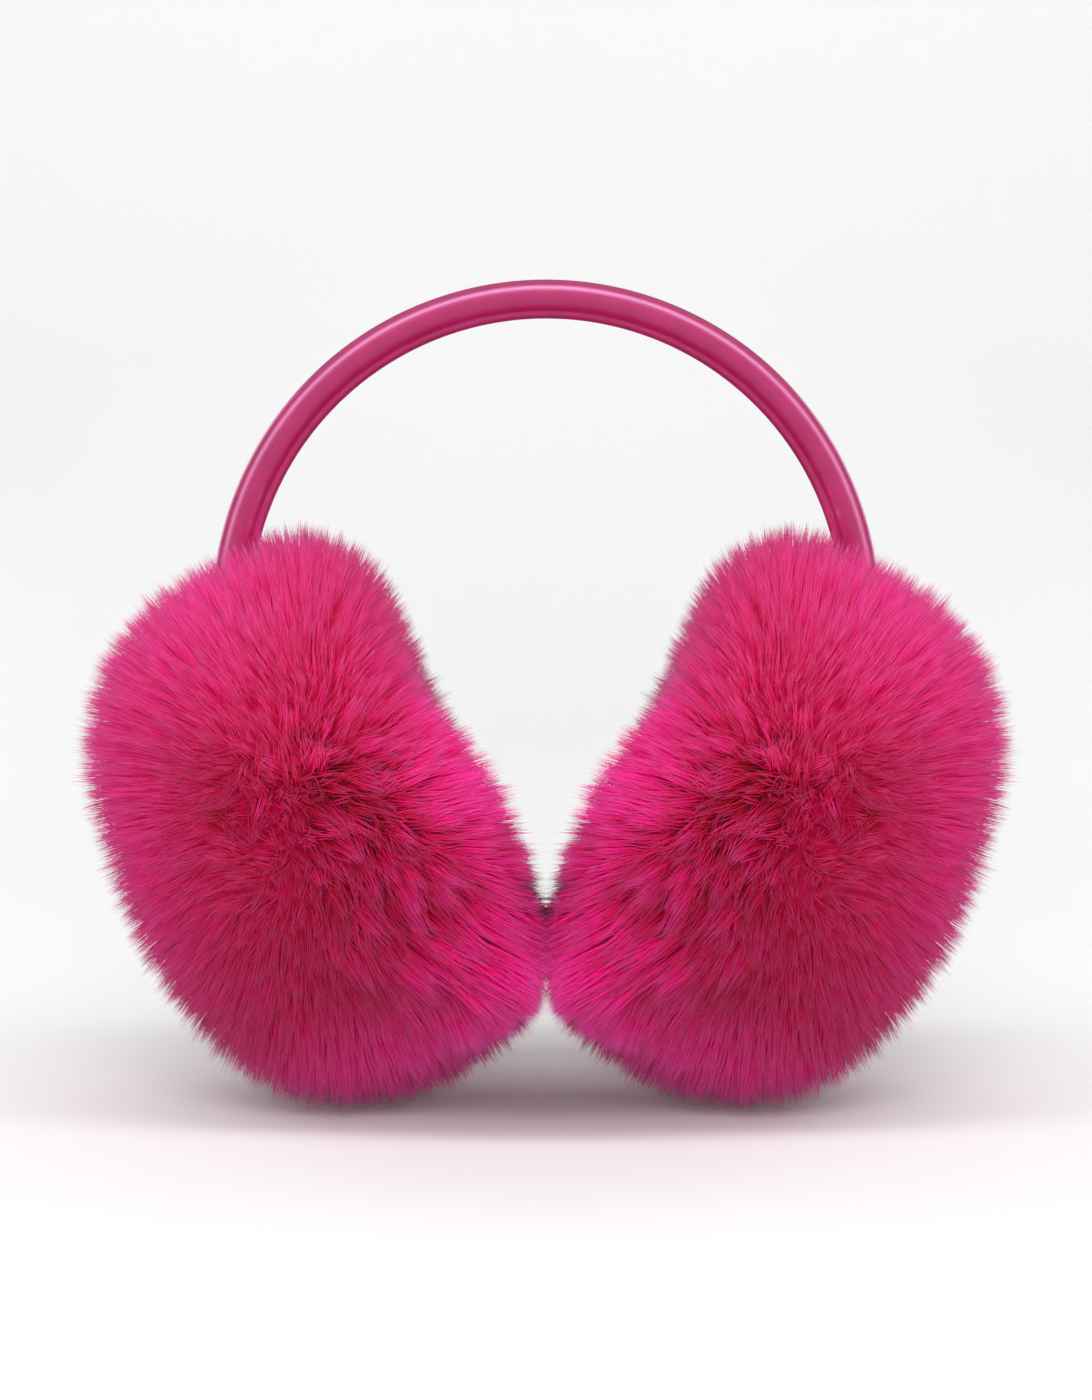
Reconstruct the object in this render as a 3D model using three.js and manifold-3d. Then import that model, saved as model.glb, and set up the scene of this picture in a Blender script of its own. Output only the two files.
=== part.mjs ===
// Fur earmuffs: a satin-sleeved spring headband with a domed deep-fur muff on each end.
// Each muff is stuffed round a hidden moulded ear frame, whose socket holds the headband's end.
// Millimetres. +Z is up, X runs from muff to muff and Y from front to back.
// The earmuffs stand on their muffs, and the origin is on that surface, below the middle of the headband.
import * as THREE from "three";
import { ConvexGeometry } from "three/addons/geometries/ConvexGeometry.js";
import { mergeVertices } from "three/addons/utils/BufferGeometryUtils.js";
import Module from "manifold-3d";

const wasm = await Module();
wasm.setup();

const degrees = THREE.MathUtils.degToRad;

// Headband: a round satin sleeve over a spring hoop, sewn along its inner side into a thin rolled seam.
const HOOP_OUTER_DIAMETER = 150;
const SLEEVE_DIAMETER = 7.4;
const SEAM_ROLL_DIAMETER = 3.2;
const SEAM_ROLL_RISE = 1.3; // how far the roll stands proud of the sleeve, towards the head
const HOOP_END_ANGLE = degrees(20); // how far past the half circle each end runs on, inside its muff

// Fur muff: round seen from the side, domed away from the head and dished towards it.
// Heights are measured from its widest section to the fur's mean surface.
const MUFF_DIAMETER = 127;
const DOME_HEIGHT = 49;
const EAR_SIDE_HEIGHT = 37.8;
const MUFF_LEAN = degrees(25.7); // the muffs' lower ends lean together
const MUFF_DROP = 27.8; // from the headband's end down the lean to the muff's centre
const MUFF_INSET = 7.5; // how far the widest section lies from the headband's end, towards the head
const DOME_ROUNDNESS = 2.5; // exponent of the outline: 2 is an ellipse, and more is squarer
const EAR_SIDE_ROUNDNESS = 3.6;
const LOWER_EDGE_FLARE = degrees(4.5); // makes the ear side fuller at its lower edge, where the muffs meet
const EAR_SIDE_DISH = 8.4; // how far the middle of the ear side is sunk, inside its rim
const DISH_NARROWNESS = 3; // exponent of the dish: more makes it narrower

// Locks: the fur's tufts, which cover the muff, each on a cell of its own.
const LOCK_COUNT = 190;
const LOCK_ROOT_DEPTH = 5; // how deep the partings between the locks lie under the fur's mean surface
const LOCK_REACH = 2.6; // how far a lock's tip stands over the fur's mean surface
const LOCK_WAIST = 0.56; // width of a lock at half its height, as a share of its cell
const LOCK_SWAY = 3.4; // how far a tip lies to the side of its root
const WAIST_SWAY = 0.3; // share of that sway at a lock's waist
const LOCK_VARIATION = 0.5; // share by which the reach and sway of the locks differ

// Ear frame: a round plate in line with the headband's end, with a socket for it on its upper edge.
const FRAME_DIAMETER = 72;
const FRAME_THICKNESS = 5;
const SOCKET_WALL = 2.2;
const SOCKET_DEPTH = 15;

// Fits.
const FIT_CLEARANCE = 0.3; // between the headband, the frame and the muff round them
const CHANNEL_ANGLE = degrees(60); // how far above the hoop's centre its channel runs on, out of the fur
const MUFF_GAP = 0.5; // between the two muffs where their fur is pressed together
const REST_PRESS = 0.3; // how far the fur's mean surface is pressed in by what it stands on

// Fineness of the faceted surfaces.
const HOOP_STEPS = 48;
const SLEEVE_SIDES = 12;
const ROLL_SIDES = 6;
const FRAME_SIDES = 32;

const sleeveRadius = SLEEVE_DIAMETER / 2;
const rollRadius = SEAM_ROLL_DIAMETER / 2;
const hoopRadius = HOOP_OUTER_DIAMETER / 2 - sleeveRadius;
const rollOffset = sleeveRadius + SEAM_ROLL_RISE - rollRadius;

// A repeatable number from 0 to 1 for each index and purpose.
function chance(index, purpose) {
  const wave = Math.sin(index * 12.9898 + purpose * 78.233) * 43758.5453;
  return wave - Math.floor(wave);
}

function toSolid(geometry) {
  const bare = geometry.clone();
  bare.deleteAttribute("normal");
  bare.deleteAttribute("uv");
  const merged = mergeVertices(bare, 1e-4);
  const mesh = new wasm.Mesh({
    numProp: 3,
    vertProperties: new Float32Array(merged.attributes.position.array),
    triVerts: new Uint32Array(merged.index.array),
  });
  return new wasm.Manifold(mesh);
}

function toGeometry(solid) {
  const mesh = solid.getMesh();
  const geometry = new THREE.BufferGeometry();
  geometry.setAttribute("position", new THREE.BufferAttribute(mesh.vertProperties, mesh.numProp));
  geometry.setIndex(new THREE.BufferAttribute(mesh.triVerts, 1));
  geometry.computeVertexNormals();
  return geometry;
}

// A cut can free the tip of a lock. The muff is the largest body that is left.
function largestBody(solid) {
  return solid.decompose().reduce((best, body) => (body.volume() > best.volume() ? body : best));
}

// Part of the headband's circle in the XZ plane, between two angles from +X, as seen from the front.
class HoopArc extends THREE.Curve {
  constructor(centreHeight, fromAngle, toAngle) {
    super();
    this.centreHeight = centreHeight;
    this.fromAngle = fromAngle;
    this.toAngle = toAngle;
  }

  getPoint(t, target = new THREE.Vector3()) {
    const angle = THREE.MathUtils.lerp(this.fromAngle, this.toAngle, t);
    const height = this.centreHeight + hoopRadius * Math.sin(angle);
    return target.set(hoopRadius * Math.cos(angle), 0, height);
  }
}

function arcPoints(centreRise, radius, fromAngle, toAngle, sides) {
  return Array.from({ length: sides + 1 }, (_, i) => {
    const angle = THREE.MathUtils.lerp(fromAngle, toAngle, i / sides);
    return new THREE.Vector2(radius * Math.cos(angle), centreRise + radius * Math.sin(angle));
  });
}

// The sleeve's round outline joined to its rolled seam, grown all round by a clearance.
// In the section, y points at the hoop's centre.
function bandSection(grow) {
  const sleeve = sleeveRadius + grow;
  const roll = rollRadius + grow;
  const creaseRise = (rollOffset ** 2 + sleeve ** 2 - roll ** 2) / (2 * rollOffset);
  const sleeveCrease = Math.acos(creaseRise / sleeve);
  const rollCrease = Math.acos((creaseRise - rollOffset) / roll);
  const up = Math.PI / 2;
  const around = up + 2 * Math.PI;
  const sleevePoints = arcPoints(0, sleeve, up + sleeveCrease, around - sleeveCrease, SLEEVE_SIDES);
  const rollPoints = arcPoints(rollOffset, roll, up - rollCrease, up + rollCrease, ROLL_SIDES);
  return new THREE.Shape([...sleevePoints, ...rollPoints.slice(1, -1)]);
}

function roundSection(radius) {
  return new THREE.Shape(arcPoints(0, radius, 0, 2 * Math.PI, SLEEVE_SIDES).slice(1));
}

// A tube along part of the headband's circle, with steps as long as the headband's own.
function sweep(section, fromAngle, toAngle) {
  const share = Math.abs(toAngle - fromAngle) / (Math.PI + 2 * HOOP_END_ANGLE);
  const settings = {
    steps: Math.ceil(HOOP_STEPS * share),
    extrudePath: new HoopArc(hoopHeight, fromAngle, toAngle),
  };
  return toSolid(new THREE.ExtrudeGeometry(section, settings));
}

function superellipse(x, y, power) {
  return (Math.abs(x) ** power + Math.abs(y) ** power) ** (-1 / power);
}

// Distance from the muff's centre to the fur's mean surface, along a unit direction in the muff's frame,
// where x is the thickness axis, pointing away from the head.
function furRadius(direction) {
  const across = Math.hypot(direction.y, direction.z) / (MUFF_DIAMETER / 2);
  if (direction.x > 0) return superellipse(direction.x / DOME_HEIGHT, across, DOME_ROUNDNESS);
  const below = Math.min(direction.z, 0);
  const facing = direction.x * Math.cos(LOWER_EDGE_FLARE) - below * Math.sin(LOWER_EDGE_FLARE);
  const dish = EAR_SIDE_DISH * Math.abs(direction.x) ** DISH_NARROWNESS;
  return superellipse(facing / EAR_SIDE_HEIGHT, across, EAR_SIDE_ROUNDNESS) - dish;
}

function furPoint(direction) {
  const unit = direction.clone().normalize();
  return unit.clone().multiplyScalar(furRadius(unit));
}

// Two directions square to an axis and to each other, which turn from one to the other round it.
function crossDirections(axis) {
  const helper = Math.abs(axis.z) < 0.9 ? new THREE.Vector3(0, 0, 1) : new THREE.Vector3(0, 1, 0);
  const side = helper.cross(axis).normalize();
  return [side, axis.clone().cross(side).normalize()];
}

function furNormal(direction) {
  const nudge = 0.01;
  const [side, other] = crossDirections(direction);
  const here = furPoint(direction);
  const alongSide = furPoint(direction.clone().addScaledVector(side, nudge)).sub(here);
  const alongOther = furPoint(direction.clone().addScaledVector(other, nudge)).sub(here);
  return alongSide.cross(alongOther).normalize();
}

// How far the fur's mean surface reaches from the muff's centre towards a direction in the muff's frame.
function furReachTowards(direction) {
  const samples = 360;
  let reach = 0;
  for (let i = 0; i < samples; i += 1) {
    const angle = (i / samples) * 2 * Math.PI;
    const ray = new THREE.Vector3(Math.cos(angle), 0, Math.sin(angle));
    reach = Math.max(reach, ray.dot(direction) * furRadius(ray));
  }
  return reach;
}

// The left muff's directions: out from the head, and up and down its lean.
const outward = new THREE.Vector3(-Math.cos(MUFF_LEAN), 0, -Math.sin(MUFF_LEAN));
const upLean = new THREE.Vector3(-Math.sin(MUFF_LEAN), 0, Math.cos(MUFF_LEAN));

// The muffs stand on the floor, and their height carries the headband's.
const floorInMuff = new THREE.Vector3(-outward.z, 0, -upLean.z);
const muffHeight = furReachTowards(floorInMuff) - REST_PRESS;
const endToCentre = new THREE.Vector3()
  .addScaledVector(upLean, -MUFF_DROP)
  .addScaledVector(outward, -MUFF_INSET);
const endHeight = muffHeight - endToCentre.z;
const hoopHeight = endHeight + hoopRadius * Math.sin(HOOP_END_ANGLE);
const leftEnd = new THREE.Vector3(-hoopRadius * Math.cos(HOOP_END_ANGLE), 0, endHeight);
const muffCentre = leftEnd.clone().add(endToCentre);

// The muff's own frame has x outward, y to the front and z up its lean.
const muffPlacement = new THREE.Matrix4()
  .makeBasis(outward, new THREE.Vector3(0, -1, 0), upLean)
  .setPosition(muffCentre);
const intoMuff = muffPlacement.clone().invert();

function headbandSolid() {
  return sweep(bandSection(0), Math.PI + HOOP_END_ANGLE, -HOOP_END_ANGLE);
}

// The space of the headband's left end with a clearance round it, up to an angle above the hoop's centre.
function leftBandChannel(angleAbove) {
  const endAngle = HOOP_END_ANGLE + FIT_CLEARANCE / hoopRadius;
  return sweep(bandSection(FIT_CLEARANCE), Math.PI + endAngle, Math.PI - angleAbove);
}

// The left ear frame without its bore, grown all round by a clearance.
function frameBlank(grow) {
  const radius = FRAME_DIAMETER / 2 + grow;
  const plate = new THREE.CylinderGeometry(radius, radius, FRAME_THICKNESS + 2 * grow, FRAME_SIDES);
  plate.rotateZ(Math.PI / 2).translate(MUFF_INSET, 0, 0).applyMatrix4(muffPlacement);
  const socketRadius = sleeveRadius + SEAM_ROLL_RISE + SOCKET_WALL + grow;
  const floorAngle = HOOP_END_ANGLE + (FIT_CLEARANCE + SOCKET_WALL + grow) / hoopRadius;
  const mouthAngle = HOOP_END_ANGLE - (SOCKET_DEPTH + grow) / hoopRadius;
  const socket = sweep(roundSection(socketRadius), Math.PI + floorAngle, Math.PI + mouthAngle);
  return toSolid(plate).add(socket);
}

function earFrameSolid() {
  return frameBlank(0).subtract(leftBandChannel(0));
}

// Directions of the locks, spread evenly over a ball by a golden spiral.
function lockDirections() {
  const goldenAngle = Math.PI * (3 - Math.sqrt(5));
  return Array.from({ length: LOCK_COUNT }, (_, index) => {
    const along = 1 - (2 * index + 1) / LOCK_COUNT;
    const round = Math.sqrt(1 - along * along);
    const turn = index * goldenAngle;
    return new THREE.Vector3(along, round * Math.cos(turn), round * Math.sin(turn));
  });
}

// From a direction on the ball to one on the flatter muff, whose cells then have like sizes all over.
function flatten(direction) {
  const flat = (DOME_HEIGHT + EAR_SIDE_HEIGHT) / MUFF_DIAMETER;
  return new THREE.Vector3(direction.x * flat, direction.y, direction.z).normalize();
}

function nearest(points, place) {
  const distances = points.map((point) => point.distanceToSquared(place));
  return distances.indexOf(Math.min(...distances));
}

// The cells of the locks: each corner lies between three neighbours, and each lock has a ring of corners.
function lockCells(directions) {
  const hull = new ConvexGeometry(directions).attributes.position;
  const corners = [];
  const rings = directions.map(() => []);
  for (let i = 0; i < hull.count; i += 3) {
    const corner = new THREE.Vector3();
    for (const k of [0, 1, 2]) {
      const owner = nearest(directions, new THREE.Vector3().fromBufferAttribute(hull, i + k));
      corner.add(directions[owner]);
      rings[owner].push(corners.length);
    }
    corners.push(corner.normalize());
  }
  rings.forEach((ring, index) => {
    const [side, other] = crossDirections(directions[index]);
    const bearing = (corner) => Math.atan2(corners[corner].dot(other), corners[corner].dot(side));
    ring.sort((a, b) => bearing(a) - bearing(b));
  });
  return { corners, rings };
}

// The muff in its own frame, whole: every lock narrows from its cell's corners, over a waist, to its tip.
function lockedBall() {
  const directions = lockDirections();
  const { corners, rings } = lockCells(directions);
  const surfaceCorners = corners.map((corner) => furPoint(flatten(corner)));
  const points = corners.map((corner, i) => {
    const normal = furNormal(flatten(corner));
    return surfaceCorners[i].clone().addScaledVector(normal, -LOCK_ROOT_DEPTH);
  });
  const faces = [];
  rings.forEach((ring, index) => {
    const vary = (purpose) => 1 + LOCK_VARIATION * (2 * chance(index, purpose) - 1);
    const middle = furPoint(flatten(directions[index]));
    const normal = furNormal(flatten(directions[index]));
    const sway = new THREE.Vector3(0, 0, LOCK_SWAY * vary(1)).applyAxisAngle(
      new THREE.Vector3(1, 0, 0),
      2 * Math.PI * chance(index, 2),
    );
    sway.addScaledVector(normal, -sway.dot(normal));
    const waistHeight = (LOCK_REACH - LOCK_ROOT_DEPTH) / 2;
    const firstWaist = points.length;
    for (const corner of ring) {
      const waist = middle.clone().lerp(surfaceCorners[corner], LOCK_WAIST);
      waist.addScaledVector(normal, waistHeight).addScaledVector(sway, WAIST_SWAY);
      points.push(waist);
    }
    const tip = points.length;
    points.push(middle.clone().addScaledVector(normal, LOCK_REACH * vary(3)).add(sway));
    ring.forEach((corner, i) => {
      const next = (i + 1) % ring.length;
      const waist = firstWaist + i;
      const nextWaist = firstWaist + next;
      faces.push(corner, ring[next], nextWaist, corner, nextWaist, waist);
      faces.push(waist, nextWaist, tip);
    });
  });
  const geometry = new THREE.BufferGeometry().setFromPoints(points);
  geometry.setIndex(faces);
  return toSolid(geometry);
}

// A block that covers everything beyond a plane, in the whole object's frame.
function blockBeyond(normal, distance) {
  const size = 4 * (HOOP_OUTER_DIAMETER + MUFF_DIAMETER);
  const offset = normal.clone().multiplyScalar(distance + size / 2);
  return new THREE.BoxGeometry(size, size, size).translate(offset.x, offset.y, offset.z);
}

// The left muff in its own frame, pressed flat on the floor and against the other muff,
// and hollow round the ear frame and the headband's end.
function furMuffSolid() {
  const floor = blockBeyond(new THREE.Vector3(0, 0, -1), 0);
  const otherSide = blockBeyond(new THREE.Vector3(1, 0, 0), -MUFF_GAP / 2);
  const hollow = frameBlank(FIT_CLEARANCE).add(leftBandChannel(CHANNEL_ANGLE));
  const cuts = [floor, otherSide, toGeometry(hollow)];
  const cut = cuts.reduce(
    (solid, geometry) => solid.subtract(toSolid(geometry.applyMatrix4(intoMuff))),
    lockedBall(),
  );
  return largestBody(cut);
}

const satin = new THREE.MeshStandardMaterial({ color: 0xc2397a, roughness: 0.35, metalness: 0 });
const fur = new THREE.MeshStandardMaterial({ color: 0xd92b7c, roughness: 0.95, metalness: 0 });
const moulded = new THREE.MeshStandardMaterial({ color: 0xe9e4e6, roughness: 0.5, metalness: 0 });

function mesh(name, geometry, material) {
  const made = new THREE.Mesh(geometry, material);
  made.name = name;
  return made;
}

const earmuffs = new THREE.Group();
earmuffs.add(mesh("headband", toGeometry(headbandSolid()), satin));

const muffGeometry = toGeometry(furMuffSolid());
const frameGeometry = toGeometry(earFrameSolid());
// The right side is the left one turned half round the vertical axis.
for (const [side, turn] of [["left", 0], ["right", Math.PI]]) {
  const group = new THREE.Group();
  group.rotation.z = turn;
  group.add(mesh(`${side}_ear_frame`, frameGeometry, moulded));
  const muff = mesh(`${side}_fur_muff`, muffGeometry, fur);
  muff.applyMatrix4(muffPlacement);
  group.add(muff);
  earmuffs.add(group);
}

export default earmuffs;
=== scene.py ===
"""Fur earmuffs: a satin-sleeved headband with a deep-fur muff on each end.

Lengths are in metres, in the frame of the CAD part.
"""
import math

import bpy
import numpy as np
from mathutils import Matrix, Vector


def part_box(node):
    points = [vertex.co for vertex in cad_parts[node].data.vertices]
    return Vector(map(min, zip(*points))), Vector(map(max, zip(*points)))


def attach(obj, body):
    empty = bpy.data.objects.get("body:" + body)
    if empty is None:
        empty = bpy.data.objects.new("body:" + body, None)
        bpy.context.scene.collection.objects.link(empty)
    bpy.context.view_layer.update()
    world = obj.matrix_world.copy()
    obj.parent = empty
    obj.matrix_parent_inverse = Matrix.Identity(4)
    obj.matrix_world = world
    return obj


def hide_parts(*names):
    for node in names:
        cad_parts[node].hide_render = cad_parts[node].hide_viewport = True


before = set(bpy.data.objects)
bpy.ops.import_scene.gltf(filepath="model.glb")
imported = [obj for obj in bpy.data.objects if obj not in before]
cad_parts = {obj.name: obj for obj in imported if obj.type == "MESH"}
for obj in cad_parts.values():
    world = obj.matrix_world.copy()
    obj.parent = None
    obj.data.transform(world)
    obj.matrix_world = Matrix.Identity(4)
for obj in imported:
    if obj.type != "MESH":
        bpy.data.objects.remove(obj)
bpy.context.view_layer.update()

MM = 0.001

# Headband, as in the part: a round sleeve with a rolled seam towards the head.
HOOP_OUTER_RADIUS = 75 * MM
SLEEVE_RADIUS = 3.7 * MM
ROLL_RADIUS = 1.6 * MM
ROLL_RISE = 1.3 * MM
HOOP_END_ANGLE = math.radians(20)
SLEEVE_STEPS = 240
SLEEVE_SIDES = 36
# The seam draws the sleeve into small puckers beside the roll, a sum of ripples of these lengths.
PUCKER_LENGTHS = (3.1 * MM, 4.3 * MM, 6.7 * MM, 11 * MM)
PUCKER_PLACE = 2.6 * MM
PUCKER_WIDTH = 1.6 * MM
PUCKER_SHARE = 0.007

# Muff, as in the part: its fur's mean surface, in a frame whose x axis is its thickness.
MUFF_RADIUS = 63.5 * MM
DOME_HEIGHT = 49 * MM
EAR_SIDE_HEIGHT = 37.8 * MM
MUFF_LEAN = math.radians(25.7)
MUFF_DROP = 27.8 * MM
MUFF_INSET = 7.5 * MM
DOME_ROUNDNESS = 2.5
EAR_SIDE_ROUNDNESS = 3.6
LOWER_EDGE_FLARE = math.radians(4.5)
EAR_SIDE_DISH = 8.4 * MM
DISH_NARROWNESS = 3

# Fur: a dense coat of loose strands, and over it wisps, whose strands draw together into points.
LOCKS = 190
STRAND_LENGTH = 26 * MM
STRAND_RADIUS = 0.19 * MM
STRAND_RADIUS_SHARES = (0.75, 1.3)
STRAND_CLEARANCE = 0.5 * MM
WIDEST_AT = 0.45
# Share of a tuft's width that it has at its roots.
ROOT_SPREAD = 0.7
UNDERCOAT_DEPTH = 7.5 * MM
UNDERCOAT_ROUGHNESS = 0.25 * MM
UNDERCOAT_CLEARANCE = 0.3 * MM
UNDERCOAT_PRESSED = 1 * MM

# Layers of strands. A tuft is as wide as its spread, and its tips draw together by a share of that. They
# reach past the fur's mean surface, and less far at the crown. The tint goes from 0, dark, to 1, pale.
LAYERS = {
    "coat": {
        "tufts": 2340, "strands": 21, "spread": 3.2 * MM, "drawn": 0.4,
        "reach": 1.4 * MM, "crown": 0, "tint": 0.45,
    },
    "wisps": {
        "tufts": 4400, "strands": 6, "spread": 1.1 * MM, "drawn": 0.68,
        "reach": 2.2 * MM, "crown": 4 * MM, "tint": 0.6,
    },
    # The meeting tufts are paler: painted light where the muffs meet and on the front of the rim.
    "meeting": {
        "tufts": 200, "strands": 21, "spread": 3 * MM, "drawn": 0.3,
        "reach": 2.2 * MM, "crown": 0, "tint": 0.8,
    },
}

# Tufts grow square to the surface and away from a centre, combed down, and lean over where the muffs meet.
SQUARE_SHARE = 0.45
FANNED_SHARE = 0.55
FAN_CENTRE = 6.5 * MM
COMBED_DOWN = 0.14
LEANT_OVER = 0.68
# At the crown, the middle of the front and of the back, the fur parts and is ruffled.
CROWN_POWER = 6
CROWN_SPREAD = 0.54
CROWN_DRAWN = 0.25
MOST_DRAWN = 0.95
RUFFLED = 0.6
CROWN_RUFFLED = 0.8

# Standard deviations of what varies from tuft to tuft and from strand to strand.
TUFT_PLACE_VARIES = 0.015
LEAN_VARIES = 0.06
LENGTH_VARIES = 0.7 * MM
STRAND_LENGTH_VARIES = 1.2 * MM
STRAND_PLACE_VARIES = 0.35 * MM
DRAWN_VARIES = 0.12
CROSSING_VARIES = 1 * MM
TUFT_TINT_VARIES = 0.045
STRAND_TINT_VARIES = 0.075

# Regions of a muff, each from where it starts to where it counts in full, in the tufts' unit directions:
# outwards for the sides, and upwards for the height.
DOME_SIDE = (0, 1 / 3)
EAR_SIDE = (0.16, -0.24)
HEAD_SIDE = (0, -1 / 2)
UPPER_PART = (0, 2 / 3)
LOWER_PART = (1 / 3, 0)
TOP = (0.75, 0.9)
FOOT = (-0.55, -0.85)
# The front of the rim, in shares of the muff's radius. Under these heights it reaches further out, and the
# rest of the ear side less far.
FRONT_RIM = (0.45, 0.65)
FRONT_RIM_HEIGHT = (95 * MM, 79 * MM)
REST_HEIGHT = (118 * MM, 98 * MM)
# The toe is the lowest fur, in the middle of the muff's thickness.
TOE_POWER = 6
TOE_PLACE = -0.05
TOE_WIDTH = 0.25

# How much further the fur reaches there.
LOWER_DOME_REACH = 1.3 * MM
TOP_REACH = -0.35 * MM
TOE_REACH = 1.8 * MM
EAR_SIDE_REACH = 1.2 * MM
FRONT_RIM_REACH = 6.4 * MM
REST_REACH = -3.2 * MM

# Where the muffs meet, the fur leans over to the other one. That place slopes up to the front, and the bands
# say how far it goes below and above.
MEETING_HEIGHT = 36.5 * MM
MEETING_SLOPE = 0.08
MEETING_DEPTH = 42 * MM
MEETING_REACH = 16 * MM
MEETING_MORE_REACH = 5 * MM
FACING_MIDDLE = (0, 1 / 2)
LEANING_BAND = (5.5 * MM, 7.5 * MM)
CROSSING_BAND = (4.6 * MM, 5.3 * MM)
# The tufts that lean over are drawn from these candidates, and none from the middle of the muff's depth.
CANDIDATES = 60000
RIM_WEIGHT = 0.3
OFF_MIDDLE = 0.5
# Strands cross over there, by up to half as much deep between the front and the back. Others leave a gap.
CROSSING = 6 * MM
INNER_SHARE = 0.5
GAP_AROUND = 2.2 * MM
NEAR_RIM = (22 * MM, 34 * MM)
# Single strands bridge the gap above and below.
BRIDGING_SHARE = 0.08
BRIDGING_STRETCH = 1.3
BRIDGED_HEIGHT = 17 * MM
BRIDGED_WIDTH = 11 * MM

# Fur gives way to the other muff and to the floor: from how near, by how much at most, and over what length.
MIDDLE_GIVE = (2.5 * MM, 3.25 * MM, 4 * MM)
FLOOR_GIVE = (1.5 * MM, 1.375 * MM, 2.5 * MM)

# How much a region changes the tint: painted shade at the crown, low down and high on the head side, and
# painted light lower on the head side, at the foot and where the muffs meet.
# Painted shade at the crown, where the fur parts.
CROWN_PAINTED_SHADE = -0.58
CROWN_PAINTED_SHADE_POWER = 0.8
# Painted light on the head side, and painted shade on its upper part.
HEAD_SIDE_PAINTED_LIGHT = 0.15
UPPER_HEAD_SIDE_PAINTED_SHADE = -0.35
# Painted light where the muffs meet.
MEETING_PAINTED_LIGHT = 0.45
# Painted shade low down.
LOWER_PAINTED_SHADE = -0.45
# Painted light at the foot, near the floor.
FOOT_PAINTED_LIGHT = 0.6

# The fur's colours along a strand, and how the tint changes them from dark to pale. The dark roots are partly
# painted shade of the deep fur, and the pale tips partly painted light through them, over the fur's own
# colour.
FUR_COLORS = (
    (0, (0.36, 0.001, 0.05)),
    (0.5, (0.58, 0.003, 0.11)),
    (0.72, (0.76, 0.008, 0.205)),
    (0.86, (0.80, 0.027, 0.285)),
    (1, (0.84, 0.13, 0.45)),
)
TINT_VALUES = (0.56, 1.3)
TINT_HUES = (0.53, 0.492)
UNDERCOAT_COLORS = ((0.3, (0.40, 0.001, 0.055)), (0.75, (0.58, 0.003, 0.09)))
SLEEVE_COLORS = ((0.3, (0.31, 0.002, 0.056)), (0.7, (0.38, 0.003, 0.080)))

# Watts of the softboxes in the arch, by their angle round the view's axis.
ARCH_POWERS = {0: 2.1, 30: 2.7, 60: 3.6, 90: 4.6, 120: 3.6, 150: 2.7, 180: 2.1}

FUR_SEED = 11
UNDERCOAT_SEED = 12
SLEEVE_SEED = 13
TWIST_SEED = 16
LOCK_SEED = 18

hoop_radius = HOOP_OUTER_RADIUS - SLEEVE_RADIUS
hoop_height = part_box("headband")[1].z - HOOP_OUTER_RADIUS
roll_offset = SLEEVE_RADIUS + ROLL_RISE - ROLL_RADIUS

outward = np.array([-math.cos(MUFF_LEAN), 0, -math.sin(MUFF_LEAN)])
up_lean = np.array([-math.sin(MUFF_LEAN), 0, math.cos(MUFF_LEAN)])
left_end = np.array(
    [-hoop_radius * math.cos(HOOP_END_ANGLE), 0, hoop_height - hoop_radius * math.sin(HOOP_END_ANGLE)]
)
muff_centre = left_end - MUFF_DROP * up_lean - MUFF_INSET * outward
# Rows of this matrix are the left muff's axes, so points @ muff_axes turns them into the object's frame.
muff_axes = np.array([outward, [0, -1, 0], up_lean])
down = muff_axes @ np.array([0, 0, -1])
to_middle = muff_axes @ np.array([1, 0, 0])


def unit(v):
    return v / np.maximum(np.linalg.norm(v, axis=-1, keepdims=True), 1e-12)


def fade_in(values, start, full):
    """0 up to the start, 1 from full on, and an even rise between. The start may be the larger one."""
    return np.clip((values - start) / (full - start), 0, 1)


def bell(values, width):
    """1 at 0, falling off to nothing on both sides."""
    return np.exp(-((values / width) ** 2))


def to_object(points):
    return points @ muff_axes + muff_centre


def fur_radius(directions):
    """How far the fur's mean surface is from the muff's centre along unit directions, in the muff's frame."""
    out, up = directions[:, 0], directions[:, 2]
    facing = out * math.cos(LOWER_EDGE_FLARE) - np.minimum(up, 0) * math.sin(LOWER_EDGE_FLARE)
    rise = np.where(out > 0, out / DOME_HEIGHT, facing / EAR_SIDE_HEIGHT)
    power = np.where(out > 0, DOME_ROUNDNESS, EAR_SIDE_ROUNDNESS)
    across = np.hypot(directions[:, 1], up) / MUFF_RADIUS
    superellipse = (np.abs(rise) ** power + across**power) ** (-1 / power)
    return superellipse - EAR_SIDE_DISH * np.maximum(-out, 0) ** DISH_NARROWNESS


def fur_point(directions):
    directions = unit(directions)
    return directions * fur_radius(directions)[:, None]


def cross_directions(axes):
    """Two unit vectors square to each axis and to each other."""
    steep = np.abs(axes[:, 2:3]) >= 0.9
    helper = np.where(steep, [[0.0, 1.0, 0.0]], [[0.0, 0.0, 1.0]])
    side = unit(np.cross(helper, axes))
    return side, np.cross(axes, side)


def fur_normal(directions):
    nudge = 0.01
    side, other = cross_directions(directions)
    here = fur_point(directions)
    along_side = fur_point(directions + nudge * side) - here
    along_other = fur_point(directions + nudge * other) - here
    return unit(np.cross(along_side, along_other))


def spread(count, turn=0.0):
    """Directions spread evenly over the muff by a golden spiral, from the dome to the ear side."""
    index = np.arange(count)
    along = 1 - (2 * index + 1) / count
    around = index * math.pi * (3 - math.sqrt(5)) + turn
    ring = np.sqrt(1 - along**2)
    flat = (DOME_HEIGHT + EAR_SIDE_HEIGHT) / (2 * MUFF_RADIUS)
    return unit(np.stack([along * flat, ring * np.cos(around), ring * np.sin(around)], 1))


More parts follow.
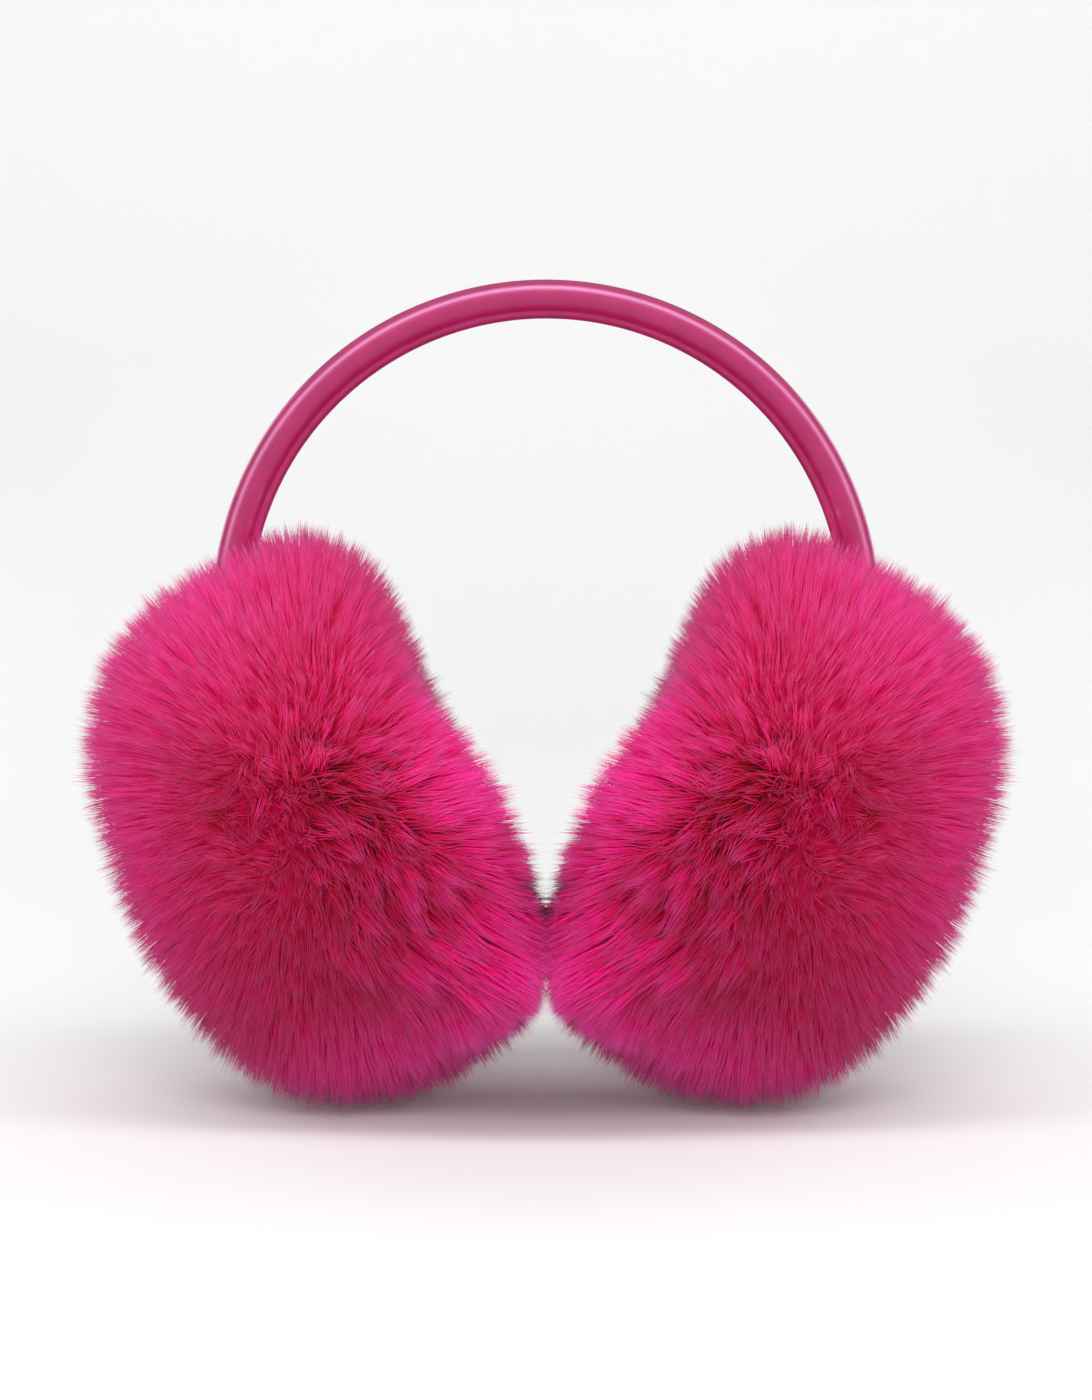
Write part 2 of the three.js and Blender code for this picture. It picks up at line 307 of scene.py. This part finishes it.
def clear_of_band(points, clearance):
    """Points of the left muff, in the object's frame, pushed out of the headband."""
    x, y, z = points[:, 0], points[:, 1], points[:, 2] - hoop_height
    radial = np.hypot(x, z)
    angle = np.arctan2(z, x)
    on_band = (angle > -math.pi + HOOP_END_ANGLE) | (angle > 0)
    off = radial - (hoop_radius - ROLL_RISE / 2)
    distance = np.hypot(off, y)
    reach = SLEEVE_RADIUS + ROLL_RISE / 2 + clearance
    inside = on_band & (distance < reach)
    scale = np.where(inside, reach / np.maximum(distance, 1e-6), 1.0)
    moved = points.copy()
    new_radial = radial + off * (scale - 1)
    ratio = np.where(inside, new_radial / np.maximum(radial, 1e-6), 1.0)
    moved[:, 0] = x * ratio
    moved[:, 1] = np.where(inside, y * scale, y)
    moved[:, 2] = z * ratio + hoop_height
    return moved


def give_way(positions, limit, nearness, most, length):
    """Positions that go on more and more slowly from so near the limit, and by no more than the most."""
    start = limit - nearness
    past = positions - start
    return np.where(past > 0, start + most * np.tanh(np.maximum(past, 0) / length), positions)


def pressed(points, depth=0.0, crossing=0.0):
    """Points of the left muff held above the floor and no further past the middle than they may cross."""
    moved = points.copy()
    moved[:, 0] = give_way(moved[:, 0], crossing - depth, *MIDDLE_GIVE)
    moved[:, 2] = -give_way(-moved[:, 2], -depth, *FLOOR_GIVE)
    return moved


def mesh_object(name, points, loops, starts, uv_name=None, uv=None):
    """An object from its vertices, each face corner's vertex and UV, and each face's first corner."""
    mesh = bpy.data.meshes.new(name)
    mesh.vertices.add(len(points))
    mesh.vertices.foreach_set("co", points.astype(np.float32).ravel())
    mesh.loops.add(len(loops))
    mesh.loops.foreach_set("vertex_index", loops.astype(np.int32))
    mesh.polygons.add(len(starts))
    mesh.polygons.foreach_set("loop_start", starts.astype(np.int32))
    if uv is not None:
        layer = mesh.uv_layers.new(name=uv_name, do_init=False)
        layer.uv.foreach_set("vector", uv.astype(np.float32).ravel())
    mesh.update(calc_edges=True)
    mesh.validate()
    mesh.polygons.foreach_set("use_smooth", np.ones(len(mesh.polygons), bool))
    piece = bpy.data.objects.new(name, mesh)
    bpy.context.scene.collection.objects.link(piece)
    return piece


def strand_mesh(name, root, middle, tip, radius, tint, material, mirrored):
    """Strands as closed three-sided spindles, bent where they are widest. The map holds tint and length."""
    count = len(root)
    side, other = cross_directions(unit(tip - root))
    twist = np.random.default_rng(TWIST_SEED).uniform(0, 2 * math.pi, count)
    ring = []
    for k in range(3):
        angle = (twist + k * 2 * math.pi / 3)[:, None]
        ring.append(middle + (np.cos(angle) * side + np.sin(angle) * other) * radius[:, None])
    points = np.stack([root, *ring, tip], 1).reshape(-1, 3)
    # Vertex 0 is the root and 4 the tip: three triangles at the root, then three at the tip.
    pattern = np.array([0, 2, 1, 0, 3, 2, 0, 1, 3, 1, 2, 4, 2, 3, 4, 3, 1, 4])
    if mirrored:
        points[:, 0] *= -1
        pattern = pattern[::-1]
    loops = (np.arange(count)[:, None] * 5 + pattern).ravel()
    along = np.tile([0.0, WIDEST_AT, WIDEST_AT, WIDEST_AT, 1.0], count)
    margin = 0.02
    uv = np.stack([np.repeat(tint, 5), along], 1) * (1 - 2 * margin) + margin
    piece = mesh_object(name, points, loops, np.arange(count * 6) * 3, "OFBake", uv[loops])
    piece.data.materials.append(material)
    return piece


def meeting_band(place, band):
    """How near places are to the height where the muffs meet, by how far the band goes below and above it."""
    height = place[:, 2] + MEETING_SLOPE * place[:, 1] - MEETING_HEIGHT
    return bell(height, np.where(height < 0, *band))


def fullness(tufts, surface):
    """How much further each tuft reaches, how much it leans over, and how much it is of the front rim."""
    out, up = tufts[:, 0], tufts[:, 2]
    place = to_object(surface)
    dome = fade_in(out, *DOME_SIDE)
    dome_reach = dome * (LOWER_DOME_REACH * fade_in(up, *LOWER_PART) + TOP_REACH * fade_in(up, *TOP))
    toe = np.clip(-up, 0, 1) ** TOE_POWER * bell(out - TOE_PLACE, TOE_WIDTH)
    # On the ear side the front of the rim reaches out past the rest of it, most of all low down.
    ear_side = fade_in(out, *EAR_SIDE)
    front_rim = fade_in(-place[:, 1] / MUFF_RADIUS, *FRONT_RIM)
    low_rim = fade_in(place[:, 2], *FRONT_RIM_HEIGHT)
    rim_reach = EAR_SIDE_REACH + FRONT_RIM_REACH * low_rim
    rest_reach = EAR_SIDE_REACH + REST_REACH * fade_in(place[:, 2], *REST_HEIGHT)
    ear_side_reach = ear_side * (front_rim * rim_reach + (1 - front_rim) * rest_reach)
    facing = fade_in((unit(surface) @ muff_axes)[:, 0], *FACING_MIDDLE)
    near_middle = fade_in(place[:, 0], -MEETING_DEPTH, 0)
    meeting = np.sqrt(facing * near_middle) * meeting_band(place, LEANING_BAND)
    meeting_reach = meeting * (np.clip(-place[:, 0], 0, MEETING_REACH) + MEETING_MORE_REACH)
    further = dome_reach + TOE_REACH * toe + ear_side_reach + meeting_reach
    return further, meeting, ear_side * front_rim * low_rim


def scatter(rng, count):
    """Directions of tufts scattered evenly over the muff."""
    tufts = spread(count, turn=rng.uniform(0, 2 * math.pi))
    return unit(tufts + rng.normal(0, TUFT_PLACE_VARIES, tufts.shape))


def scatter_at_meeting(rng, count):
    """Directions of tufts on the rim, where they lean over to the other muff, and on its front above that."""
    candidates = scatter(rng, CANDIDATES)
    _, meeting, rim = fullness(candidates, fur_point(candidates))
    weight = (meeting**2 + RIM_WEIGHT * rim) * (np.abs(candidates[:, 1]) > OFF_MIDDLE)
    return candidates[rng.choice(len(candidates), count, replace=False, p=weight / weight.sum())]


def grow_tufts(rng, tufts, layer):
    """Tufts' tips and directions in the muff's frame, and how much they are of the crown and lean over."""
    surface = fur_point(tufts)
    further, meeting, _ = fullness(tufts, surface)
    fanned = unit(surface - np.array([FAN_CENTRE, 0, 0]))
    combed = SQUARE_SHARE * fur_normal(tufts) + FANNED_SHARE * fanned + COMBED_DOWN * down
    growth = unit(combed + LEANT_OVER * meeting[:, None] * to_middle)
    at_crown = np.abs(growth[:, 1:2]) ** CROWN_POWER
    growth[:, 1] *= 1 - CROWN_SPREAD * np.abs(growth[:, 1])
    lock_of = np.argmax(tufts @ spread(LOCKS).T, 1)
    lock_lean = np.random.default_rng(LOCK_SEED).normal(0, LEAN_VARIES, (LOCKS, 3))[lock_of]
    tuft_lean = rng.normal(0, LEAN_VARIES, tufts.shape)
    growth = unit(growth + (lock_lean + tuft_lean) * (RUFFLED + CROWN_RUFFLED * at_crown))
    varied = rng.normal(0, LENGTH_VARIES, (len(tufts), 1))
    tip = surface + growth * (layer["reach"] + further[:, None] - layer["crown"] * at_crown + varied)
    return tip, growth, at_crown, meeting


def part_tufts(rng, tuft_tip, growth, at_crown, layer):
    """Root, middle and tip of every strand in the muff's frame, and the number of its tuft."""
    index = np.repeat(np.arange(len(growth)), layer["strands"])
    count = len(index)
    tuft_root = tuft_tip - growth * STRAND_LENGTH
    side, other = cross_directions(growth)
    turn = rng.uniform(0, 2 * math.pi, (count, 1))
    out = layer["spread"] * np.sqrt(rng.uniform(0, 1, (count, 1)))
    offset = out * (np.cos(turn) * side[index] + np.sin(turn) * other[index])
    drawn = rng.normal(layer["drawn"], DRAWN_VARIES, (count, 1)) + CROWN_DRAWN * at_crown[index]
    drawn = np.clip(drawn, 0, MOST_DRAWN)
    shorter = np.abs(rng.normal(0, STRAND_LENGTH_VARIES, (count, 1)))
    root = tuft_root[index] + offset * ROOT_SPREAD
    middle = tuft_root[index] + growth[index] * (STRAND_LENGTH * WIDEST_AT)
    middle = middle + offset * (1 - drawn * WIDEST_AT**2) + rng.normal(0, STRAND_PLACE_VARIES, (count, 3))
    tip = tuft_tip[index] - growth[index] * shorter + offset * (1 - drawn)
    tip = tip + rng.normal(0, STRAND_PLACE_VARIES, (count, 3))
    return root, middle, tip, index


def cross_over(rng, tip):
    """The tips in the object's frame, the bridging ones stretched, and how far each strand may cross."""
    tip = tip.copy()
    count = len(tip)
    near_rim = fade_in(np.abs(tip[:, 1]), *NEAR_RIM)
    near_band = meeting_band(tip, CROSSING_BAND)
    meeting = near_band * np.maximum(near_rim, INNER_SHARE * near_band)
    crossing = (GAP_AROUND + CROSSING) * meeting - GAP_AROUND + rng.normal(0, CROSSING_VARIES, count)
    bridging = rng.uniform(0, 1, count) < BRIDGING_SHARE
    near_gap = bell(tip[:, 2] - MEETING_HEIGHT, BRIDGED_HEIGHT) * near_rim * (tip[:, 0] > -BRIDGED_WIDTH)
    tip[:, 0] *= 1 - BRIDGING_STRETCH * bridging * near_gap
    return tip, np.where(bridging, CROSSING, crossing)


def paint_tuft_light_and_tone(rng, tufts, at_crown, meeting, middle_tint):
    """Each tuft's tint: painted shade at the crown, low down and high on the head side, painted light lower
    on the head side, at the foot and where the muffs meet, and a tone that differs at random.
    """
    out, up = tufts[:, 0], tufts[:, 2]
    # Painted light on the head side, and painted shade on its upper part.
    head_side_painted_light_and_shade = HEAD_SIDE_PAINTED_LIGHT + UPPER_HEAD_SIDE_PAINTED_SHADE * fade_in(up, *UPPER_PART)
    # Painted shade at the crown.
    tint = middle_tint + CROWN_PAINTED_SHADE * at_crown[:, 0] ** CROWN_PAINTED_SHADE_POWER
    # Painted light where the muffs meet.
    tint = tint + head_side_painted_light_and_shade * fade_in(out, *HEAD_SIDE) + MEETING_PAINTED_LIGHT * meeting
    # Painted shade low down, and painted light at the foot.
    tint = tint + LOWER_PAINTED_SHADE * np.maximum(-up, 0) + FOOT_PAINTED_LIGHT * fade_in(up, *FOOT)
    return tint + rng.normal(0, TUFT_TINT_VARIES, len(tufts))


def grow_layer(rng, tufts, layer):
    """A layer's strands on the left muff: roots, middles and tips in the object's frame, radii, and tints."""
    tuft_tip, growth, at_crown, meeting = grow_tufts(rng, tufts, layer)
    root, middle, tip, index = part_tufts(rng, tuft_tip, growth, at_crown, layer)
    tip, crossing = cross_over(rng, to_object(tip))
    places = [
        pressed(clear_of_band(place, STRAND_CLEARANCE), crossing=crossing)
        for place in (to_object(root), to_object(middle), tip)
    ]
    radius = STRAND_RADIUS * rng.uniform(*STRAND_RADIUS_SHARES, len(index))
    tuft_tone_and_painted_light = paint_tuft_light_and_tone(rng, tufts, at_crown, meeting, layer["tint"])
    tint = np.clip(tuft_tone_and_painted_light[index] + rng.normal(0, STRAND_TINT_VARIES, len(index)), 0, 1)
    return places, radius, tint


def fur_pieces():
    """Each fur piece's name, with its strands on the left muff: the coat's two sides, and the wisps."""
    rng = np.random.default_rng(FUR_SEED)
    layers = {}
    for name, layer in LAYERS.items():
        tufts = (scatter_at_meeting if name == "meeting" else scatter)(rng, layer["tufts"])
        layers[name] = grow_layer(rng, tufts, layer)
    # The tufts of the coat go from the dome to the ear side, so that each side is one half of them.
    places, radius, tint = layers["coat"]
    half = len(tint) // 2
    for region, part in (("dome_coat", slice(0, half)), ("ear_side_coat", slice(half, None))):
        yield region, [place[part] for place in places], radius[part], tint[part]
    # The strands that lean over where the muffs meet are one piece with the wisps.
    wisps, meeting = layers["wisps"], layers["meeting"]
    places = [np.concatenate(pair) for pair in zip(wisps[0], meeting[0])]
    yield "wisps", places, np.concatenate([wisps[1], meeting[1]]), np.concatenate([wisps[2], meeting[2]])


def undercoat_points():
    """A fine ball of points under the left muff's strands, in the object's frame, with its triangles."""
    bpy.ops.mesh.primitive_ico_sphere_add(subdivisions=5, radius=1)
    ball = bpy.context.object
    points = unit(np.array([v.co for v in ball.data.vertices]))
    faces = np.array([p.vertices for p in ball.data.polygons])
    bpy.data.objects.remove(ball)
    rough = np.random.default_rng(UNDERCOAT_SEED).normal(0, UNDERCOAT_ROUGHNESS, len(points))
    local = fur_point(points) - fur_normal(points) * (UNDERCOAT_DEPTH + rough)[:, None]
    return pressed(clear_of_band(to_object(local), UNDERCOAT_CLEARANCE), UNDERCOAT_PRESSED), faces


def set_inputs(node, values):
    for name, value in values.items():
        node.inputs[name].default_value = value


def shader(name, values):
    """A new material with these values on its shader, and what the other functions need of it."""
    material = bpy.data.materials.new(name)
    material.use_nodes = True
    nodes = material.node_tree.nodes
    bsdf = nodes["Principled BSDF"]
    set_inputs(bsdf, values)
    return material, nodes, material.node_tree.links, bsdf


def color_ramp(nodes, stops):
    """A colour ramp with these stops, each a position and a colour."""
    node = nodes.new("ShaderNodeValToRGB")
    elements = node.color_ramp.elements
    for element, (position, color) in zip(elements, (stops[0], stops[-1])):
        element.position = position
        element.color = (*color, 1)
    for position, color in stops[1:-1]:
        elements.new(position).color = (*color, 1)
    return node


def noise_texture(nodes, scale, detail):
    noise = nodes.new("ShaderNodeTexNoise")
    set_inputs(noise, {"Scale": scale, "Detail": detail})
    return noise


def add_bump(nodes, links, bsdf, height, strength, distance):
    bump = nodes.new("ShaderNodeBump")
    set_inputs(bump, {"Strength": strength, "Distance": distance})
    links.new(height, bump.inputs["Height"])
    links.new(bump.outputs["Normal"], bsdf.inputs["Normal"])


def uv_map(nodes, name):
    uv = nodes.new("ShaderNodeUVMap")
    uv.uv_map = name
    return uv.outputs[0]


def mapped(nodes, links, source, low, high):
    """A value from 0 to 1 as one from low to high."""
    node = nodes.new("ShaderNodeMapRange")
    set_inputs(node, {"To Min": low, "To Max": high})
    links.new(source, node.inputs["Value"])
    return node.outputs["Result"]


def fur_material():
    """Strands that are dark at the root and pale at the tip, partly painted shade and painted light, each as
    dark or as pale as its tint says.
    """
    material, nodes, links, bsdf = shader("fur", {
        "Roughness": 0.55,
        "Specular IOR Level": 0.2,
        "Sheen Weight": 0.12,
        "Sheen Roughness": 0.4,
        "Sheen Tint": (1.0, 0.45, 0.7, 1),
    })
    split = nodes.new("ShaderNodeSeparateXYZ")
    links.new(uv_map(nodes, "OFBake"), split.inputs[0])
    along = color_ramp(nodes, FUR_COLORS)
    links.new(split.outputs["Y"], along.inputs[0])
    tint = nodes.new("ShaderNodeHueSaturation")
    links.new(mapped(nodes, links, split.outputs["X"], *TINT_VALUES), tint.inputs["Value"])
    links.new(mapped(nodes, links, split.outputs["X"], *TINT_HUES), tint.inputs["Hue"])
    links.new(along.outputs["Color"], tint.inputs["Color"])
    links.new(tint.outputs["Color"], bsdf.inputs["Base Color"])
    return material


def undercoat_material():
    material, nodes, links, bsdf = shader("undercoat", {"Roughness": 0.95})
    noise = noise_texture(nodes, scale=900, detail=4)
    color = color_ramp(nodes, UNDERCOAT_COLORS)
    links.new(noise.outputs["Fac"], color.inputs[0])
    links.new(color.outputs["Color"], bsdf.inputs["Base Color"])
    add_bump(nodes, links, bsdf, noise.outputs["Fac"], strength=0.8, distance=0.4 * MM)
    return material


def sleeve_material():
    """Glossy magenta satin: a faint mottle in its colour, and a fine twill in its bump."""
    material, nodes, links, bsdf = shader("satin_sleeve", {
        "Roughness": 0.33,
        "Specular IOR Level": 1.0,
        "IOR": 2.1,
        "Specular Tint": (0.9, 0.6, 1.0, 1),
    })
    uv = uv_map(nodes, "Sleeve")
    twill = nodes.new("ShaderNodeTexWave")
    twill.wave_type = "BANDS"
    twill.bands_direction = "DIAGONAL"
    set_inputs(twill, {"Scale": 900, "Distortion": 0.6})
    links.new(uv, twill.inputs["Vector"])
    noise = noise_texture(nodes, scale=120, detail=5)
    links.new(uv, noise.inputs["Vector"])
    color = color_ramp(nodes, SLEEVE_COLORS)
    links.new(noise.outputs["Fac"], color.inputs[0])
    links.new(color.outputs["Color"], bsdf.inputs["Base Color"])
    add_bump(nodes, links, bsdf, twill.outputs["Fac"], strength=0.25, distance=0.05 * MM)
    return material


def plastic_material():
    material, nodes, links, bsdf = shader("moulded_frame", {
        "Base Color": (0.8, 0.76, 0.78, 1),
        "Roughness": 0.5,
    })
    noise = noise_texture(nodes, scale=600, detail=2)
    add_bump(nodes, links, bsdf, noise.outputs["Fac"], strength=0.2, distance=0.05 * MM)
    return material


def sleeve_outline():
    """The sleeve's section, from the crease at one side of the roll, as (towards the head, to the back)."""
    crease_rise = (roll_offset**2 + SLEEVE_RADIUS**2 - ROLL_RADIUS**2) / (2 * roll_offset)
    sleeve_crease = math.acos(crease_rise / SLEEVE_RADIUS)
    roll_crease = math.acos((crease_rise - roll_offset) / ROLL_RADIUS)
    sleeve = np.linspace(sleeve_crease, 2 * math.pi - sleeve_crease, SLEEVE_SIDES)
    roll = np.linspace(-roll_crease, roll_crease, SLEEVE_SIDES // 3)[1:-1]
    big = np.stack([np.cos(sleeve), np.sin(sleeve)], 1) * SLEEVE_RADIUS
    small = np.stack([np.cos(roll), np.sin(roll)], 1) * ROLL_RADIUS + [roll_offset, 0]
    return np.concatenate([big, small])


def sleeve_points(outline, angles):
    """The outline at each angle round the hoop, puckered beside the roll."""
    lengths = angles * hoop_radius
    phases = np.random.default_rng(SLEEVE_SEED).uniform(0, 2 * math.pi, len(PUCKER_LENGTHS))
    ripple = sum(np.sin(2 * math.pi * lengths / p + phase) for p, phase in zip(PUCKER_LENGTHS, phases))
    near_seam = bell(outline[:, 0] - PUCKER_PLACE, PUCKER_WIDTH)
    grow = 1 + PUCKER_SHARE * near_seam * ripple[:, None]
    radial = hoop_radius - grow * outline[:, 0]
    x = radial * np.cos(angles)[:, None]
    z = hoop_height + radial * np.sin(angles)[:, None]
    return np.stack([x, grow * outline[:, 1], z], 2).reshape(-1, 3)


def make_sleeve(material):
    """The sleeve's mesh, with flat ends. Its map is in metres round the sleeve and along it."""
    outline = sleeve_outline()
    n = len(outline)
    angles = np.linspace(math.pi + HOOP_END_ANGLE, -HOOP_END_ANGLE, SLEEVE_STEPS + 1)
    around = np.arange(n)
    ahead = (around + 1) % n
    ring = np.arange(SLEEVE_STEPS)[:, None] * n
    quads = np.stack([ring + around, ring + ahead, ring + n + ahead, ring + n + around], 2).reshape(-1, 4)
    ends = [around[::-1], SLEEVE_STEPS * n + around]
    loops = np.concatenate([quads.ravel(), *ends])
    starts = np.concatenate([np.arange(len(quads)) * 4, [quads.size, quads.size + n]])
    edge = np.linalg.norm(np.roll(outline, -1, 0) - outline, axis=1)
    across = np.concatenate([[0], np.cumsum(edge)])
    along = (angles[0] - angles) * hoop_radius
    u = np.stack([across[:-1], across[1:], across[1:], across[:-1]], 1)
    v = np.stack([along[:-1], along[:-1], along[1:], along[1:]], 1)
    uv = np.stack([np.tile(u, (SLEEVE_STEPS, 1)), np.repeat(v, n, 0)], 2).reshape(-1, 2)
    uv = np.concatenate([uv, np.zeros((2 * n, 2))])
    piece = mesh_object("headband_sleeve", sleeve_points(outline, angles), loops, starts, "Sleeve", uv)
    piece.data.materials.append(material)
    return piece


def make_headband():
    sleeve = make_sleeve(sleeve_material())
    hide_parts("headband")
    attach(sleeve, "root")


def make_muffs():
    """Both muffs: an undercoat and its strands, made for the left one and mirrored for the right one."""
    fur = fur_material()
    under = undercoat_material()
    coat, faces = undercoat_points()
    strands = list(fur_pieces())
    starts = np.arange(len(faces)) * 3
    for side in ("left", "right"):
        mirrored = side == "right"
        points = coat * [-1, 1, 1] if mirrored else coat
        loops = faces.ravel()[::-1] if mirrored else faces.ravel()
        pad = mesh_object(f"{side}_undercoat", points, loops, starts)
        pad.data.materials.append(under)
        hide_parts(f"{side}_fur_muff")
        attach(pad, "root")
        for region, places, radius, tint in strands:
            piece = strand_mesh(f"{side}_fur_{region}", *places, radius, tint, fur, mirrored)
            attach(piece, "root")


def dress_frames():
    plastic = plastic_material()
    for side in ("left", "right"):
        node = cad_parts[f"{side}_ear_frame"]
        node.data.materials.clear()
        node.data.materials.append(plastic)


def make_camera():
    """The photo's view, from the front and a little above."""
    photo_height_px = 1400
    floor_px = 1114
    mm_per_px = 0.225
    # The lowest fur in the picture is in front of the object's middle, and shows lower by this much.
    lowest_fur_lower = 2.8 * MM
    elevation = math.radians(4.5)
    camera_data = bpy.data.cameras.new("camera")
    camera_data.lens = 100
    camera_data.sensor_width = 36
    camera_data.clip_start = 0.01
    camera = bpy.data.objects.new("camera", camera_data)
    bpy.context.scene.collection.objects.link(camera)
    frame_height = photo_height_px * mm_per_px * MM
    distance = frame_height * camera_data.lens / camera_data.sensor_width
    target = Vector((0, 0, (floor_px - photo_height_px / 2) * mm_per_px * MM - lowest_fur_lower))
    camera.location = target + distance * Vector((0, -math.cos(elevation), math.sin(elevation)))
    camera.rotation_euler = (target - camera.location).to_track_quat("-Z", "Y").to_euler()
    bpy.context.scene.camera = camera


def area_light(name, place, target, size, power, glossy=True, along=(1, 0, 0)):
    """A softbox that faces the target, with its width laid along a direction."""
    data = bpy.data.lights.new(name, "AREA")
    data.shape = "RECTANGLE"
    data.size, data.size_y = size
    data.energy = power
    light = bpy.data.objects.new(name, data)
    light.location = place
    light.visible_glossy = glossy
    back = (Vector(place) - Vector(target)).normalized()
    up = back.cross(Vector(along)).normalized()
    light.rotation_euler = Matrix((up.cross(back), up, back)).transposed().to_euler()
    bpy.context.scene.collection.objects.link(light)


def make_floor():
    """A pale floor that curves up into a wall behind the object."""
    half_width, front, back, wall_height, bend = 3.2, -3.0, 1.6, 2.6, 0.7
    bend_steps = 24
    profile = [(front, 0.0), (back - bend, 0.0)]
    for a in np.linspace(0, math.pi / 2, bend_steps + 1)[1:]:
        profile.append((back - bend + bend * math.sin(a), bend - bend * math.cos(a)))
    profile.append((back, wall_height))
    rows = [[(x, y, z) for x in (-half_width, half_width)] for y, z in profile]
    points = np.array(rows).reshape(-1, 3)
    quads = [[2 * i, 2 * i + 1, 2 * i + 3, 2 * i + 2] for i in range(len(profile) - 1)]
    floor = mesh_object("studio_floor", points, np.array(quads).ravel(), np.arange(len(quads)) * 4)
    material = shader("studio_floor", {
        "Base Color": (0.88, 0.88, 0.88, 1),
        "Roughness": 0.9,
        "Specular IOR Level": 0.1,
    })[0]
    floor.data.materials.append(material)
    floor.visible_glossy = False


def make_lights():
    """Soft light from all round, and softboxes above, in front, behind and on the backdrop."""
    world = bpy.data.worlds.new("studio")
    bpy.context.scene.world = world
    world.use_nodes = True
    set_inputs(world.node_tree.nodes["Background"], {"Color": (1, 1, 1, 1), "Strength": 0.18})
    middle = (0, 0, 0.1)
    # An arch of softboxes round the view's axis lays one highlight all along the headband.
    tilt, distance = math.radians(65), 1.5
    for degrees, power in ARCH_POWERS.items():
        turn = math.radians(degrees)
        along = (-math.sin(turn), 0, math.cos(turn))
        ray = Vector((math.sin(tilt) * math.cos(turn), -math.cos(tilt), math.sin(tilt) * math.sin(turn)))
        place = Vector(middle) + distance * ray
        area_light(f"arch_{degrees}", place, middle, size=(0.7, 0.48), power=power, along=along)
    area_light("fill", (0, -2.2, 0.3), middle, size=(0.8, 0.5), power=28, glossy=False)
    area_light("key", (0, -1.4, 0.9), middle, size=(0.7, 0.5), power=9, glossy=False)
    area_light("back_right", (0.75, 0.95, 0.25), middle, size=(0.4, 0.8), power=3)
    area_light("back_left", (-0.75, 0.95, 0.25), middle, size=(0.4, 0.8), power=3)
    area_light("backdrop", (0, 0.9, 1.5), target=(0, 1.7, 0.5), size=(2.8, 0.8), power=6.6)


make_camera()
make_headband()
make_muffs()
dress_frames()
make_floor()
make_lights()
bpy.context.scene.view_settings.view_transform = "Standard"
